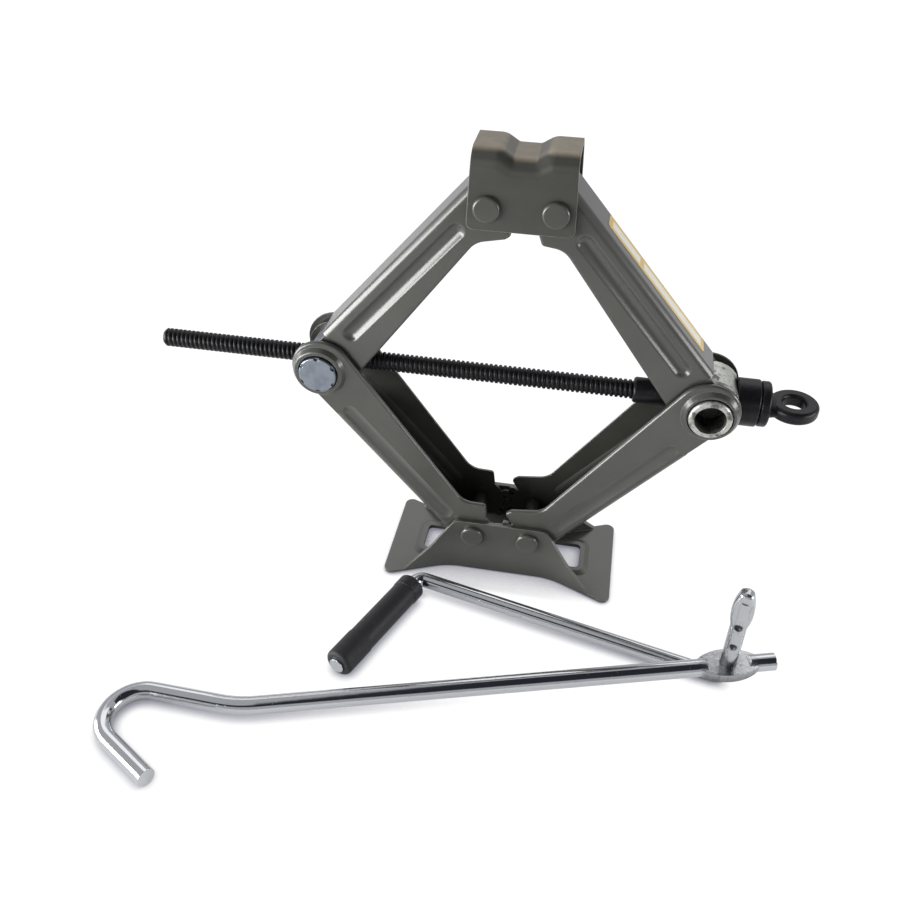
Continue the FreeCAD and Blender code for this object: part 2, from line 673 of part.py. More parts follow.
def bearing_balls():
    """Ring of balls between the two races."""
    circle = (SCREW_RADIUS + CUP_INSIDE) / 2
    balls = []
    for index in range(BALL_COUNT):
        spoke = Vector(0, circle, 0)
        turn = FreeCAD.Rotation(X_AXIS, 360 / BALL_COUNT * index)
        middle = at_screw(BALLS_X + BALL_RADIUS) + turn.multVec(spoke)
        balls.append(Part.makeSphere(BALL_RADIUS, middle))
    return Part.makeCompound(balls)


def screw_eye():
    """Forging on the screw's end: spigot, flange, neck and upright-holed ring."""
    middle = at_screw(EYE_CENTRE)
    half = Z_AXIS * (EYE_THICKNESS / 2)
    disc = bar(EYE_RADIUS, middle - half, middle + half)
    disc = disc.cut(bar(EYE_HOLE_RADIUS, middle - half * 2, middle + half * 2))
    for reach, rim_round in ((EYE_RADIUS, EYE_ROUND), (EYE_HOLE_RADIUS, EYE_HOLE_ROUND)):
        rims = [edge for edge in disc.Edges if edge.BoundBox.ZLength < TOUCH
                and abs(edge.BoundBox.YMax - reach) < TOUCH]
        disc = disc.makeFillet(rim_round, rims)
    flange = bar(FLANGE_RADIUS, at_screw(FLANGE_X), at_screw(FLANGE_END_X))
    rims = [edge for edge in flange.Edges if edge.BoundBox.XLength < TOUCH]
    flange = flange.makeFillet(FLANGE_ROUND, rims)
    spigot = bar(CUP_INSIDE - 2 * SIDE_GAP, at_screw(SPIGOT_X), at_screw(FLANGE_X + FLANGE_ROUND))
    inside = EYE_HOLE_RADIUS + EYE_HOLE_ROUND
    neck_end = EYE_CENTRE - inside
    chord = 2 * math.sqrt(EYE_RADIUS**2 - inside**2)
    ovals = []
    for place, width, height in (
            (FLANGE_END_X - EYE_NECK_TUCK, EYE_NECK_WIDTH, EYE_NECK_HEIGHT),
            (neck_end, chord - EYE_NECK_TUCK, EYE_THICKNESS - EYE_NECK_TUCK)):
        oval = Part.Ellipse(at_screw(place) + Y_AXIS * (width / 2),
                            at_screw(place) + Z_AXIS * (height / 2), at_screw(place))
        ovals.append(Part.Wire(oval.toShape()))
    neck = Part.makeLoft(ovals, True)
    socket = bar(SCREW_HOLE, at_screw(0), at_screw(SCREW_END_X))
    return fused([disc, flange, spigot, neck]).cut(socket)


def rod(corners, radius):
    """Round rod along (point, bend radius) corners."""
    path = Part.Wire(bent_edges(corners, closed=False))
    start = corners[0][0]
    section = Part.Face(Part.Wire(Part.Circle(start, corners[1][0] - start, radius).toShape()))
    return path.makePipe(section)


POST_FOOT = Vector(POST_X, POST_Y, CRANK_ROD_RADIUS)
ARM_ACROSS = heading(CRANK_ARM_HEADING)
GRIP_CORNER = Vector(POST_X, POST_Y, GRIP_RADIUS) + ARM_ACROSS * CRANK_ARM
GRIP_ALONG = heading(TAIL_HEADING)


def crank_rod():
    """Rod with the grip's tail, the long arm and the upright post."""
    top = Vector(POST_X, POST_Y, POST_TOP)
    shape = rod([(GRIP_CORNER + GRIP_ALONG * TAIL_LENGTH, 0), (GRIP_CORNER, CRANK_BEND),
                 (POST_FOOT, POST_BEND), (top - Z_AXIS * POST_CORE_GAP, 0)], CRANK_ROD_RADIUS)

    # Flattened head that keeps the hook rod's eye on the post
    low = POST_TOP - POST_HEAD_HEIGHT
    crown = POST_TOP - POST_HEAD_CROWN
    across = [(CRANK_ROD_RADIUS, low), (POST_HEAD_WIDTH / 2, low + POST_HEAD_SHOULDER),
              (POST_HEAD_TOP / 2, crown)]
    post = Vector(POST_X, POST_Y, 0)
    front = Z_AXIS.cross(ARM_ACROSS)
    right = [post + ARM_ACROSS * x + Z_AXIS * z for x, z in across]
    left = [post - ARM_ACROSS * x + Z_AXIS * z for x, z in reversed(across)]
    edges = arc(*right) + arc(right[2], post + Z_AXIS * POST_TOP, left[0]) + arc(*left)
    face = Part.Face(Part.Wire(edges + line(left[2], right[0])))
    head = face.extrude(front * POST_HEAD_THICKNESS)
    head.translate(front * (-POST_HEAD_THICKNESS / 2))
    rims = [edge for edge in head.Edges
            if abs(edge.tangentAt(edge.FirstParameter).dot(front)) < TOUCH
            and edge.BoundBox.ZMax > low + TOUCH]
    head = head.makeFillet(POST_HEAD_ROUND, rims)

    # Crimp marks on the post, on the side of its flat
    reach = CRANK_ROD_RADIUS + CRIMP_RADIUS - CRIMP_DEPTH
    crimps = [Part.makeSphere(CRIMP_RADIUS, post + Z_AXIS * (low - drop) + front * reach)
              for drop in CRIMP_DROPS]
    return fused([shape, head]).cut(crimps)


def crank_grip():
    """Sleeve that turns on the tail of the crank rod, with a collar at each end."""
    bend_reach = math.tan(ARM_ACROSS.getAngle(-GRIP_ALONG) / 2)
    start = GRIP_CORNER + GRIP_ALONG * (CRANK_BEND * bend_reach + GRIP_START)
    end = GRIP_CORNER + GRIP_ALONG * (TAIL_LENGTH - GRIP_END_GAP)
    far = start + GRIP_ALONG * GRIP_FAR_COLLAR
    near = end - GRIP_ALONG * GRIP_NEAR_COLLAR
    pieces = [bar(GRIP_WAIST_RADIUS, far, near)]
    for rim, foot, rim_round in ((start, far, GRIP_FAR_ROUND), (end, near, GRIP_NEAR_ROUND)):
        collar = bar(GRIP_RADIUS, rim, foot)
        edges = [edge for edge in collar.Edges if edge.Closed and edge.CenterOfMass.isEqual(rim, TOUCH)]
        pieces.append(collar.makeFillet(rim_round, edges))
    hole = bar(CRANK_ROD_RADIUS + RUNNING_FIT, start - GRIP_ALONG, end + GRIP_ALONG)
    return fused(pieces).cut(hole)


def hook_rod():
    """Round rod with a flattened eye near one end and a hook at the other."""
    knee = Vector(HOOK_ROD_STRAIGHT, 0, 0)
    lead = knee + heading(-KNEE_TURN) * HOOK_LEAD
    turn = math.radians(HOOK_TURN / 2)
    apex = lead + heading(-KNEE_TURN) * (HOOK_RADIUS * math.tan(turn / 2))
    half_way = heading(HOOK_TURN / 2 - KNEE_TURN)
    second = apex + half_way * (2 * HOOK_RADIUS * math.tan(turn / 2))
    away = heading(HOOK_TURN - KNEE_TURN)
    tip = second + away * (HOOK_RADIUS * math.tan(turn / 2) + HOOK_TIP)
    shape = rod([(Vector(-HOOK_ROD_STUB, 0, 0), 0), (knee, KNEE_RADIUS), (apex, HOOK_RADIUS),
                 (second, HOOK_RADIUS), (tip, 0)], HOOK_ROD_RADIUS)

    # The rod pressed flat round the hole, with a ramp on each side
    half = ROD_EYE_THICKNESS / 2
    flat = ROD_EYE_REACH - HOOK_ROD_RADIUS
    ramp = ROD_EYE_REACH
    wide = 2 * HOOK_ROD_RADIUS
    press = bent_face([(Vector(x, -wide, z), 0) for x, z in (
        (-flat, half), (flat, half), (ramp, wide), (-ramp, wide))]).extrude(Y_AXIS * 2 * wide)
    shape = shape.cut([press, press.mirror(Vector(0, 0, 0), Z_AXIS)])
    flank = math.sqrt(HOOK_ROD_RADIUS**2 - half**2)
    ends = [Vector(x, y, -half) for x, y in (
        (-ramp, -flank), (ramp, -flank), (ramp, flank), (-ramp, flank))]
    bulge = Vector(0, ROD_EYE_RADIUS, 0)
    foot = Z_AXIS * -half
    lens = Part.Face(Part.Wire(arc(ends[0], foot - bulge, ends[1]) + line(ends[1], ends[2])
                               + arc(ends[2], foot + bulge, ends[3]) + line(ends[3], ends[0])))
    shape = fused([shape, lens.extrude(Z_AXIS * ROD_EYE_THICKNESS)])

    # Laid on the post: the eye over the crank's bend, the hook down on the floor
    eye_z = POST_FOOT.z + POST_BEND + half + ROD_EYE_LIFT
    far = lead.x + HOOK_RADIUS + HOOK_ROD_RADIUS
    drop = math.asin((eye_z - HOOK_ROD_RADIUS - SIDE_GAP) / far)
    level = heading(HOOK_ROD_HEADING)
    along = level * math.cos(drop) - Z_AXIS * math.sin(drop)
    up = Z_AXIS * math.cos(drop) + level * math.sin(drop)
    shape = placed(shape, Vector(POST_X, POST_Y, eye_z), along, up)
    post = Vector(POST_X, POST_Y, 0)
    return shape.cut(bar(CRANK_ROD_RADIUS + ROD_EYE_FIT, post, post + Z_AXIS * POST_TOP))


PIECES = {
    "base_plate": base_plate(),
    "base_rivet_left": rivet(-PIVOT_X, BASE_PIVOT_Z, BASE_OUT),
    "base_rivet_right": rivet(PIVOT_X, BASE_PIVOT_Z, BASE_OUT),
    "lower_arm_left": lower_arm(-1),
    "lower_arm_right": lower_arm(1),
    "upper_arm_left": upper_arm(-1),
    "upper_arm_right": upper_arm(1),
    "saddle": saddle(),
    "saddle_rivet_left": rivet(-PIVOT_X, SADDLE_PIVOT_Z, SADDLE_OUT),
    "saddle_rivet_right": rivet(PIVOT_X, SADDLE_PIVOT_Z, SADDLE_OUT),
    "trunnion_nut": trunnion_nut(),
    "trunnion_block": trunnion_block(),
    "lead_screw": lead_screw(),
    "spacer_sleeve": spacer_sleeve(),
    "bearing_cup": bearing_cup(),
    "bearing_race_fixed": ring(FIXED_RACE_X, FIXED_RACE_X + RACE_THICKNESS,
                               CUP_INSIDE - FIXED_FIT, SCREW_RADIUS + SIDE_GAP),
    "bearing_balls": bearing_balls(),
    "bearing_race_turning": ring(TURNING_RACE_X, SPIGOT_X, CUP_INSIDE - SIDE_GAP, SCREW_HOLE),
    "screw_eye": screw_eye(),
    "crank_rod": crank_rod(),
    "crank_grip": crank_grip(),
    "hook_rod": hook_rod(),
}

os.makedirs("parts", exist_ok=True)
for name, shape in PIECES.items():
    shape.exportStep("parts/" + name + ".step")
    print(name, shape.isValid(), len(shape.Solids), round(shape.Volume / 1000, 2))
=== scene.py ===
# %% [markdown]
# A scissor jack lifts a car by folding four geared arms with one long screw.
# The construction comes in as a fixed frame of solids, with its joints, and this lesson dresses it:
# paint, plating, a real thread, a blank label, soft light and a camera.
# Everything is in metres: X runs along the screw, Y to the back and Z up.

# %% Load the frame
import json
import math

import bmesh
import bpy
from mathutils import Matrix, Vector


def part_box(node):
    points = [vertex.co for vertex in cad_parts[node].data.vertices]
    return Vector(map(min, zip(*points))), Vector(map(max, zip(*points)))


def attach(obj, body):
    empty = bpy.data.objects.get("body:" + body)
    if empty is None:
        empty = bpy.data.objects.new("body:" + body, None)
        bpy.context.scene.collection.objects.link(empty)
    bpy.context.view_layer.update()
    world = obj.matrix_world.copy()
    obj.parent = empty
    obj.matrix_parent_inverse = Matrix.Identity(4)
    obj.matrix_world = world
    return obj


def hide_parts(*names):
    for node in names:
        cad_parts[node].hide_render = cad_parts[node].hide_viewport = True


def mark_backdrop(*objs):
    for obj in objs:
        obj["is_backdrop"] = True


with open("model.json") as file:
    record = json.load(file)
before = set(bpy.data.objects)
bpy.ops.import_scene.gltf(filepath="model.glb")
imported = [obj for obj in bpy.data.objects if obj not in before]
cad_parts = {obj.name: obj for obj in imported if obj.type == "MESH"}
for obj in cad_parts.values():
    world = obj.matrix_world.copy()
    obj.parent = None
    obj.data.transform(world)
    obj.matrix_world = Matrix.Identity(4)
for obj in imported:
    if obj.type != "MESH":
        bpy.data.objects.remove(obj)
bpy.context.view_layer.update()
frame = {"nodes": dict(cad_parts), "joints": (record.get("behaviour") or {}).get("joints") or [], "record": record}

nodes = frame["nodes"]
joints = {joint["name"]: joint for joint in frame["joints"]}
MM = 0.001


def joint_place(name):
    return Vector(joints[name]["pos_m"])


def joint_axis(name):
    return Vector(joints[name]["axis"])


# %% [markdown]
# The picture is taken by hand, from above and a little to the right, so the camera is
# placed by its position, heading, dip and a slight roll. A camera could also be aimed with a
# Track To constraint, but a matrix built from three directions shows plainly what each angle does.

# %% Camera
CAMERA_PLACE = Vector((0.04747, -0.51025, 0.47441))
CAMERA_HEADING = math.radians(9.681)
CAMERA_DIP = math.radians(36.998)
CAMERA_ROLL = math.radians(1.219)
CAMERA_LENS = 38.384
SENSOR_WIDTH = 36.0
CLIP_START = 0.01


def camera_axes():
    """Right, up and forward directions of the camera."""
    level = math.cos(CAMERA_DIP)
    forward = Vector((-math.sin(CAMERA_HEADING) * level, math.cos(CAMERA_HEADING) * level,
                      -math.sin(CAMERA_DIP)))
    flat_right = Vector((math.cos(CAMERA_HEADING), math.sin(CAMERA_HEADING), 0))
    flat_up = flat_right.cross(forward)
    right = flat_right * math.cos(CAMERA_ROLL) + flat_up * math.sin(CAMERA_ROLL)
    return right, right.cross(forward), forward


def turned(*axes):
    """Matrix that turns X, Y and Z to three directions."""
    return Matrix(axes).transposed().to_4x4()


def add_camera():
    data = bpy.data.cameras.new("camera")
    data.lens = CAMERA_LENS
    data.sensor_width = SENSOR_WIDTH
    data.clip_start = CLIP_START
    camera = bpy.data.objects.new("camera", data)
    right, up, forward = camera_axes()
    camera.matrix_world = Matrix.Translation(CAMERA_PLACE) @ turned(right, up, -forward)
    bpy.context.scene.collection.objects.link(camera)
    bpy.context.scene.camera = camera
    return camera


camera = add_camera()
bpy.context.scene.view_settings.view_transform = "Standard"
print("camera at", [round(value, 3) for value in camera.matrix_world.translation])

# %% [markdown]
# Shaders are easier to read as sums than as boxes and wires. This small class wraps one output
# socket: arithmetic on it adds Math nodes, and `add` makes any other node in the same tree.


# %% A socket that does arithmetic
class Flow:
    """One output socket of a shader node."""

    def __init__(self, socket):
        self.socket = socket
        self.tree = socket.id_data

    def add(self, kind, settings=None, values=None, out=0):
        """Another node in the same tree: its settings first, then its sockets."""
        node = self.tree.nodes.new("ShaderNode" + kind)
        for name, value in (settings or {}).items():
            setattr(node, name, value)
        for name, value in (values or {}).items():
            if isinstance(value, Flow):
                self.tree.links.new(value.socket, node.inputs[name])
            else:
                node.inputs[name].default_value = value
        return Flow(node.outputs[out])

    def math(self, operation, first, second=0.0):
        return self.add("Math", {"operation": operation}, {0: first, 1: second})

    def __add__(self, other):
        return self.math("ADD", self, other)

    def __sub__(self, other):
        return self.math("SUBTRACT", self, other)

    def __rsub__(self, other):
        return self.math("SUBTRACT", other, self)

    def __mul__(self, other):
        return self.math("MULTIPLY", self, other)

    __radd__ = __add__
    __rmul__ = __mul__


def band(flow, low, high):
    """0 below the low value, 1 above the high one and a smooth step between."""
    return flow.add("MapRange", {"interpolation_type": "SMOOTHSTEP"},
                    {"Value": flow, "From Min": low, "From Max": high})


def vector(operation, first, second, out="Vector"):
    return first.add("VectorMath", {"operation": operation}, {0: first, 1: second}, out=out)


def axis(place, letter):
    """One coordinate of a place."""
    return place.add("SeparateXYZ", None, {"Vector": place}, out=letter)


def noise(place, scale, detail=2.0, roughness=0.5):
    """Soft noise over the surface, from 0 to 1."""
    return place.add("TexNoise", None, {"Vector": place, "Scale": scale, "Detail": detail,
                                        "Roughness": roughness})


def blend(factor, first, second):
    """Mix two colours by a factor."""
    return factor.add("Mix", {"data_type": "RGBA"}, {0: factor, 6: first, 7: second}, out=2)


print("flow ready with", [name for name in vars(Flow) if not name.startswith("_")])

# %% [markdown]
# Every finish starts the same way: a new material with its one Principled shader, and a
# texture place that is fixed to the piece, so that grain and wear stay put when a joint moves.
# Screen colours are written as 0 to 255 and turned into the linear light that a shader needs.
# Two masks find sharp edges, where a rounded normal turns away from the
# plain one, and corners, where a surface sees little of the open. The edge mask brings wear and, on
# the paint, a painted highlight; the corner mask brings painted shade.

# %% A new finish
MASK_SAMPLES = 6
EDGE_BAND = (0.02, 0.2)


def shade(*rgb):
    """Colour written as 0 to 255 on a screen, as the shader's own light values (sRGB curve)."""
    values = [channel / 255 for channel in rgb]
    return tuple(v / 12.92 if v <= 0.04045 else ((v + 0.055) / 1.055) ** 2.4 for v in values) + (1.0,)


def new_finish(name, **fixed):
    """New material with these values on its shader, and the place that its textures use."""
    material = bpy.data.materials.new(name)
    material.use_nodes = True
    shader = material.node_tree.nodes["Principled BSDF"]
    for socket, value in fixed.items():
        shader.inputs[socket.replace("_", " ")].default_value = value
    return material, Flow(shader.outputs["BSDF"]).add("TexCoord", out="Object")


def feed(material, **flows):
    """Link flows to the sockets of the material's shader."""
    shader = material.node_tree.nodes["Principled BSDF"]
    for socket, flow in flows.items():
        material.node_tree.links.new(flow.socket, shader.inputs[socket.replace("_", " ")])
    print(material.name, "has", len(material.node_tree.nodes), "nodes")
    return material


def rounded(place, radius):
    """Shading normal that runs round the sharp edges."""
    return place.add("Bevel", {"samples": MASK_SAMPLES}, {"Radius": radius})


def facing(place):
    """Plain normal of the surface."""
    return place.add("NewGeometry", out="Normal")


def edge_mask(normal):
    """1 along the sharp edges, from a rounded normal."""
    return band(1 - vector("DOT_PRODUCT", normal, facing(normal), "Value"), *EDGE_BAND)


def corner_mask(place, distance):
    """1 in corners and holes that lie closer together than this distance, 0 in the open."""
    return 1 - place.add("AmbientOcclusion", {"samples": MASK_SAMPLES}, {"Distance": distance}, out="AO")


def bumped(height, strength, depth, normal):
    """Bump from a height, on top of another normal."""
    return height.add("Bump", None, {"Height": height, "Strength": strength, "Distance": depth,
                                     "Normal": normal})


print("screen grey 99 is", round(shade(99, 99, 99)[0], 3), "in light")

# %% [markdown]
# The pressed arms, base, saddle and rivets wear one warm grey semi-gloss paint. Its own colour is
# dark: much of the grey that the eye sees is the pale room mirrored in the gloss, so a flat
# grey would look like card. A thin clear coat carries that mirror and draws the bright lines on
# every bend. Three masks shift its colour: folded edges are lightened, partly as thin worn paint
# and partly as a painted highlight; corners, creases and channel insides are darkened as painted
# shade; and upper faces hold dust. The saddle is the duller and dustier one, from the same recipe.
# Each noise is named and written as its scale, detail and roughness, to be tuned in one place.

# %% Warm grey paint
PAINT = shade(69, 69, 64)
PAINT_CLOUD = shade(77, 77, 72)
# Lighter edge colour: partly worn paint, partly a painted highlight along edges and bends.
PAINT_WORN_AND_HIGHLIT = shade(204, 202, 194)
# Dark colour of painted shade, also used in the zinc bores and the post's dents.
PAINTED_SHADE = shade(20, 20, 22)
PAINT_DUST = shade(190, 172, 140)
PAINT_METALLIC = 0.1
PAINT_GLOSS = 0.31
PAINT_EDGE = 0.6 * MM
CLOUD_NOISE, CLOUD_BAND, CLOUD_SHARE = (26, 3), (0.3, 0.7), 0.8
FLAKE_NOISE, FLAKE_BAND, FLAKE_SHARE = (1900, 2, 0.7), (0.45, 0.8), 0.2
RUB_NOISE, RUB_BAND, SCUFF_BAND = (130, 4, 0.6), (0.4, 0.6), (0.6, 0.75)
# How far the edges are lightened, as worn paint and as painted highlight.
WEAR_AND_HIGHLIGHT_LEAST, WEAR_AND_HIGHLIGHT_SHARE = 0.55, 0.75
# Reach and strength of painted shade in corners and channel insides, and of a painted contact shadow in creases.
CORNER_SHADE_REACH, CORNER_SHADE_BAND = 42 * MM, (0.42, 0.78)
CREASE_SHADOW_REACH, CREASE_SHADOW_BAND = 5 * MM, (0.3, 0.8)
SHADE_LEAST, SHADE_RUB = 0.52, 0.36
UPWARD_BAND = (0.75, 0.98)
PEEL_NOISE, PEEL_STRENGTH, PEEL_DEPTH = (620, 2), 0.015, 0.2 * MM


def paint_finish(name, coat, haze, dust):
    """Grey paint with this much clear coat, haze in the coat and dust on its upper faces."""
    material, place = new_finish(name, Coat_Weight=coat, Coat_Roughness=haze, Metallic=PAINT_METALLIC)
    normal = rounded(place, PAINT_EDGE)
    cloud = noise(place, *CLOUD_NOISE)
    flake = noise(place, *FLAKE_NOISE)
    rub = noise(place, *RUB_NOISE)
    # Edges are lightened: partly worn paint, partly a painted highlight.
    wear_and_highlight = edge_mask(normal) * (WEAR_AND_HIGHLIGHT_LEAST + band(rub, *RUB_BAND) * (1 - WEAR_AND_HIGHLIGHT_LEAST))
    # Corners and channel insides get painted shade; creases get a painted contact shadow, broken up by noise.
    corner_shade = band(corner_mask(place, CORNER_SHADE_REACH), *CORNER_SHADE_BAND)
    crease_shadow = band(corner_mask(place, CREASE_SHADOW_REACH), *CREASE_SHADOW_BAND)
    painted_shade = place.math("MAXIMUM", corner_shade, crease_shadow) * (SHADE_LEAST + rub * SHADE_RUB)
    upward = band(axis(facing(place), "Z"), *UPWARD_BAND)
    mottle = band(cloud, *CLOUD_BAND) * CLOUD_SHARE + band(flake, *FLAKE_BAND) * FLAKE_SHARE
    colour = blend(mottle, PAINT, PAINT_CLOUD)
    colour = blend(wear_and_highlight * WEAR_AND_HIGHLIGHT_SHARE, colour, PAINT_WORN_AND_HIGHLIT)
    colour = blend(painted_shade, colour, PAINTED_SHADE)
    colour = blend(upward * (0.5 + rub) * dust, colour, PAINT_DUST)
    scuff = band(rub, *SCUFF_BAND)
    gloss = PAINT_GLOSS + cloud * 0.1 + corner_shade * 0.2 + scuff * 0.06 + upward * dust * 0.2
    peel = noise(place, *PEEL_NOISE) + flake * 0.3
    return feed(material, Base_Color=colour, Roughness=gloss,
                Normal=bumped(peel, PEEL_STRENGTH, PEEL_DEPTH, normal))


paint = paint_finish("warm_grey_paint", 0.8, 0.23, 0.0)
dusty_paint = paint_finish("dusty_grey_paint", 0.3, 0.3, 0.5)

# %% [markdown]
# The screw, the bearing cup and the forged eye are black: oiled steel that was never painted.
# Its colour hardly changes, so the interest lies in the gloss, where oil lies in smears, and in
# the forging scale, a fine bump. Where hands and the hook rub, the edges turn to bare steel.

# %% Oiled black steel
BLACK_STEEL = shade(18, 18, 21)
RUBBED_STEEL = shade(110, 110, 114)
BLACK_METALLIC = 0.25
BLACK_SPECULAR = 0.4
BLACK_GLOSS = 0.26
BLACK_EDGE = 0.6 * MM
SMEAR_NOISE, SMEAR_BAND = (70, 5, 0.6), (0.4, 0.65)
SCALE_NOISE, SCALE_BAND = (520, 3, 0.6), (0.45, 0.9)
SCALE_STRENGTH, SCALE_DEPTH = 0.14, 0.2 * MM


def black_finish(name):
    """Black steel with smears of oil and rubbed edges."""
    material, place = new_finish(name, Metallic=BLACK_METALLIC, Specular_IOR_Level=BLACK_SPECULAR)
    normal = rounded(place, BLACK_EDGE)
    smear = noise(place, *SMEAR_NOISE)
    scale = noise(place, *SCALE_NOISE)
    rubbed = edge_mask(normal) * band(smear, *SMEAR_BAND)
    colour = blend(rubbed * 0.55 + band(scale, *SCALE_BAND) * 0.1, BLACK_STEEL, RUBBED_STEEL)
    gloss = BLACK_GLOSS + smear * 0.22 - rubbed * 0.08
    return feed(material, Base_Color=colour, Roughness=gloss,
                Normal=bumped(scale, SCALE_STRENGTH, SCALE_DEPTH, normal))


black_steel = black_finish("oiled_black_steel")

# %% [markdown]
# The two trunnions are turned steel with a thin zinc plating: satin, with dull clouds. The nut is
# smooth and a little blue. The bearing block is paler and speckled, so one recipe takes the two
# colours and the share of specks. Holes get painted shade: the corner mask darkens the bore and the
# staked notches.

# %% Zinc plating
ZINC = shade(150, 157, 167)
ZINC_DULL = shade(134, 141, 151)
ROUGH_ZINC = shade(224, 225, 218)
ROUGH_ZINC_DULL = shade(176, 177, 170)
ZINC_SPECK = shade(84, 85, 84)
ZINC_METALLIC = 0.95
ZINC_GLOSS = 0.3
ZINC_EDGE = 0.5 * MM
STAIN_NOISE, DULL_BAND, STAIN_BAND = (120, 4, 0.6), (0.3, 0.75), (0.5, 0.62)
SPECK_NOISE, SPECK_BAND = (900, 3, 0.7), (0.52, 0.72)
SPECK_STRENGTH, SPECK_DEPTH = 0.16, 0.15 * MM
# Reach, band and strength of the painted shade in the bore and the staked notches.
HOLE_SHADE_REACH, HOLE_SHADE_BAND, HOLE_SHADE_SHARE = 24 * MM, (0.5, 0.75), 0.9


def zinc_finish(name, pale, dull, speck):
    """Zinc that clouds from pale to dull, with this share of dark specks."""
    material, place = new_finish(name, Metallic=ZINC_METALLIC)
    normal = rounded(place, ZINC_EDGE)
    cloud = noise(place, *STAIN_NOISE)
    grain = noise(place, *SPECK_NOISE)
    colour = blend(band(cloud, *DULL_BAND), pale, dull)
    stain = band(grain, *SPECK_BAND) + band(cloud, *STAIN_BAND)
    colour = blend(stain * speck, colour, ZINC_SPECK)
    # Holes are darkened as painted shade.
    painted_shade = band(corner_mask(place, HOLE_SHADE_REACH), *HOLE_SHADE_BAND)
    colour = blend(painted_shade * HOLE_SHADE_SHARE, colour, PAINTED_SHADE)
    polish = edge_mask(normal)
    gloss = ZINC_GLOSS + cloud * 0.18 - polish * 0.1 + painted_shade * 0.2 + grain * speck * 0.2
    return feed(material, Base_Color=colour, Roughness=gloss,
                Normal=bumped(grain, SPECK_STRENGTH + speck * 0.3, SPECK_DEPTH, normal))


zinc = zinc_finish("zinc_plating", ZINC, ZINC_DULL, 0.1)
rough_zinc = zinc_finish("rough_zinc_plating", ROUGH_ZINC, ROUGH_ZINC_DULL, 0.75)

# %% [markdown]
# The crank is bent from bright plated bar. A perfect mirror looks like plastic film, so the
# plating gets a slow ripple from drawing the bar, pin-point pits, and a satin patch round the post,
# streaked up and down. The eye that was pressed flat is duller and darker, the darkening partly
# painted shade of the post that stands on it, and the two dents that were squeezed into the post
# get painted shade. Each is found by its distance from the post, so no second mesh is needed.

# %% Bright plating
BRIGHT = shade(206, 208, 211)
BRIGHT_PIT = shade(88, 90, 92)
SATIN = shade(198, 200, 203)
# Colour of the flat eye: a duller finish, darkened partly as painted shade of the post.
PLATE_DULL_AND_SHADED = shade(112, 113, 112)
PLATE_TOP = 12 * MM
SATIN_REACH = 20 * MM
SATIN_FULL = 0.8
BRIGHT_GLOSS = 0.06
BRIGHT_EDGE = 0.5 * MM
FILM_NOISE = (160, 4, 0.65)
STREAK_NOISE, STREAK_BAND, STREAK_SQUASH = (420, 3, 0.7), (0.55, 0.7), 0.15
RIPPLE_NOISE, RIPPLE_STRENGTH, RIPPLE_DEPTH = (70, 2), 0.14, 0.5 * MM
PIT_NOISE, PIT_BAND = (430, 2, 0.6), (0.68, 0.76)
ROD_RADIUS = 5 * MM
CRIMP_HEIGHTS = (54.6 * MM, 38.0 * MM)
CRIMP_REACH = 2.7 * MM
CRIMP_RIM = (CRIMP_REACH * 0.7, CRIMP_REACH * 1.2)
# Strength of the painted shade in the post's dents.
CRIMP_SHADE_SHARE = 0.9


def crimp_mask(place, post, front, smudge):
    """1 in the dents where the post was squeezed, with a ragged rim."""
    open_metal = 1.0
    for height in CRIMP_HEIGHTS:
        dent = post * Vector((1, 1, 0)) + front * ROD_RADIUS + Vector((0, 0, height))
        gap = vector("DISTANCE", place, dent, "Value") + (smudge - 0.5) * CRIMP_REACH
        open_metal = open_metal * band(gap, *CRIMP_RIM)
    return 1 - open_metal


def bright_finish(name, post, front):
    """Bright plating, satin round the post, with painted shade in the dents on its front."""
    material, place = new_finish(name, Metallic=1.0)
    normal = rounded(place, BRIGHT_EDGE)
    level = vector("MULTIPLY", place, (1, 1, 0))
    reach = vector("DISTANCE", level, (post.x, post.y, 0), "Value")
    film = noise(place, *FILM_NOISE)
    streak = noise(vector("MULTIPLY", place, (1, 1, STREAK_SQUASH)), *STREAK_NOISE)
    satin = (1 - band(reach, SATIN_REACH * SATIN_FULL, SATIN_REACH)) * (0.6 + film * 0.6)
    ripple = noise(place, *RIPPLE_NOISE)
    pits = band(noise(place, *PIT_NOISE), *PIT_BAND)
    crimp_shade = crimp_mask(place, post, front, film)
    plate = 1 - band(axis(place, "Z"), PLATE_TOP, PLATE_TOP * 2)
    # Below the post the flat eye takes its duller colour, darkened partly as painted shade.
    colour = blend(satin, BRIGHT, blend(plate, SATIN, PLATE_DULL_AND_SHADED))
    colour = blend(pits * 0.5 + satin * band(streak, *STREAK_BAND) * 0.45, colour, BRIGHT_PIT)
    # The dents in the post get painted shade.
    colour = blend(crimp_shade * CRIMP_SHADE_SHARE, colour, PAINTED_SHADE)
    gloss = BRIGHT_GLOSS + film * 0.1 + pits * 0.2 + satin * 0.12 + crimp_shade * 0.3
    height = ripple + film * 0.4 - pits * 0.3 + satin * (streak * 2.4 + film * 1.2)
    return feed(material, Base_Color=colour, Roughness=gloss,
                Normal=bumped(height, RIPPLE_STRENGTH, RIPPLE_DEPTH, normal))


post_place = joint_place("hook_rod_swing")
crank_across = (joint_place("grip_turn") - post_place) * Vector((1, 1, 0))
post_front = Vector((0, 0, 1)).cross(crank_across.normalized())
bright = bright_finish("bright_plating", post_place, post_front)

# %% [markdown]
# The grip is a black moulded sleeve. Its grain is too fine to see one by one, yet it spreads the
# highlight. Its far rim is crinkled where the mould closed, so a sine round the axis adds a bump
# there, and the collar by the open end has a coarser grain and fine lines.

